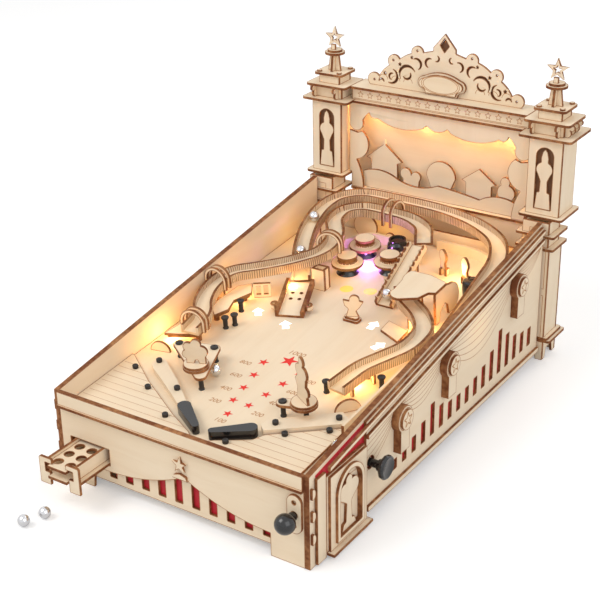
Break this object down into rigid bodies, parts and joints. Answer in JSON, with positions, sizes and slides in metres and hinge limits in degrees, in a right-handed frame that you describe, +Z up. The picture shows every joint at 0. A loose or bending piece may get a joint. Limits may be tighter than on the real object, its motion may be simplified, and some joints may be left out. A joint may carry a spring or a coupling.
{
  "type": "tabletop bagatelle game",
  "caption": "Tabletop bagatelle in cut plywood: sloping playfield with flippers, bumpers and ball ramps, spring plunger, ball drawer and a theatre back-box.",
  "frame": {"origin": "centre of the footprint, at table height", "axes": "+X to the player's right, +Y away from the player, +Z up"},
  "size_m": [0.254, 0.4704, 0.2585],
  "materials": {
    "birch_ply": "satin",
    "red_film": "matte",
    "stained_ply": "matte",
    "black_plastic": "satin",
    "rubber": "matte",
    "chromed_steel": "polished",
    "spring_steel": "bright"
  },
  "bodies": {
    "cabinet": {"apron": "birch_ply", "ball_guides": "birch_ply", "ball_ramps": "birch_ply", "black_drums": "black_plastic", "board_scenery": "birch_ply", "bumper_bases": "black_plastic", "bumper_discs": "birch_ply", "cabinet_panels": "birch_ply", "corner_niches": "birch_ply", "corner_trim": "birch_ply", "drawer_guides": "birch_ply", "front_band": "birch_ply", "front_drape": "birch_ply", "front_emblem": "birch_ply", "front_grille": "birch_ply", "head_cover": "birch_ply", "lintel": "birch_ply", "niche_figures": "birch_ply", "orbit_track": "birch_ply", "pediment": "birch_ply", "playfield": "birch_ply", "plunger_plate": "birch_ply", "plunger_spring": "spring_steel", "red_films": "red_film", "return_track": "birch_ply", "rubber_posts": "rubber", "scene_back": "birch_ply", "side_medallions": "birch_ply", "side_mouldings": "birch_ply", "side_panels": "birch_ply", "side_walls": "birch_ply", "sign_plate": "birch_ply", "sling_figures": "birch_ply", "sling_plates": "birch_ply", "stage_curtains": "birch_ply", "stage_frame": "birch_ply", "stage_scene": "birch_ply", "standing_targets": "birch_ply", "steel_balls": "chromed_steel", "tower_columns": "birch_ply", "tower_cornices": "birch_ply", "tower_figures": "birch_ply", "tower_finials": "birch_ply", "tower_shafts": "birch_ply", "track_columns": "birch_ply", "track_hoops": "birch_ply", "wood_linings": "stained_ply"},
    "drawer": {"drawer_box": "birch_ply", "drawer_tray": "birch_ply"},
    "plunger": {"plunger_rod": "birch_ply", "plunger_knob": "black_plastic", "striker": "birch_ply"},
    "left_button_body": {"left_button": "black_plastic", "left_slider": "birch_ply"},
    "right_button_body": {"right_button": "black_plastic", "right_slider": "birch_ply"},
    "left_flipper_body": {"left_flipper": "black_plastic", "left_crank": "black_plastic"},
    "right_flipper_body": {"right_flipper": "black_plastic", "right_crank": "black_plastic"}
  },
  "joints": [
    {"name": "drawer_slide", "type": "slide", "parent": "cabinet", "child": "drawer", "axis": [0, 1, 0], "range_m": [0, 0.0317]},
    {"name": "plunger_slide", "type": "slide", "parent": "cabinet", "child": "plunger", "axis": [0, 0.9969, 0.079], "range_m": [-0.015, 0], "stiffness_N_per_m": 120, "springref_m": 0.004, "deforming": ["plunger_spring"]},
    {"name": "left_button_press", "type": "slide", "parent": "cabinet", "child": "left_button_body", "axis": [1, 0, 0], "range_m": [0, 0.00507], "stiffness_N_per_m": 150, "springref_m": -0.002},
    {"name": "right_button_press", "type": "slide", "parent": "cabinet", "child": "right_button_body", "axis": [-1, 0, 0], "range_m": [0, 0.00507], "stiffness_N_per_m": 150, "springref_m": -0.002},
    {"name": "left_flipper_turn", "type": "hinge", "parent": "cabinet", "child": "left_flipper_body", "pos_m": [-0.022, -0.12488, 0.05984], "axis": [0, -0.079, 0.9969], "range_deg": [0, 50]},
    {"name": "right_flipper_turn", "type": "hinge", "parent": "cabinet", "child": "right_flipper_body", "pos_m": [0.036, -0.12488, 0.05984], "axis": [0, 0.079, -0.9969], "range_deg": [0, 50]}
  ],
  "couplings": [
    {"joint": "left_flipper_turn", "follows": "left_button_press", "rad_per_m": 172.08},
    {"joint": "right_flipper_turn", "follows": "right_button_press", "rad_per_m": 172.08}
  ]
}
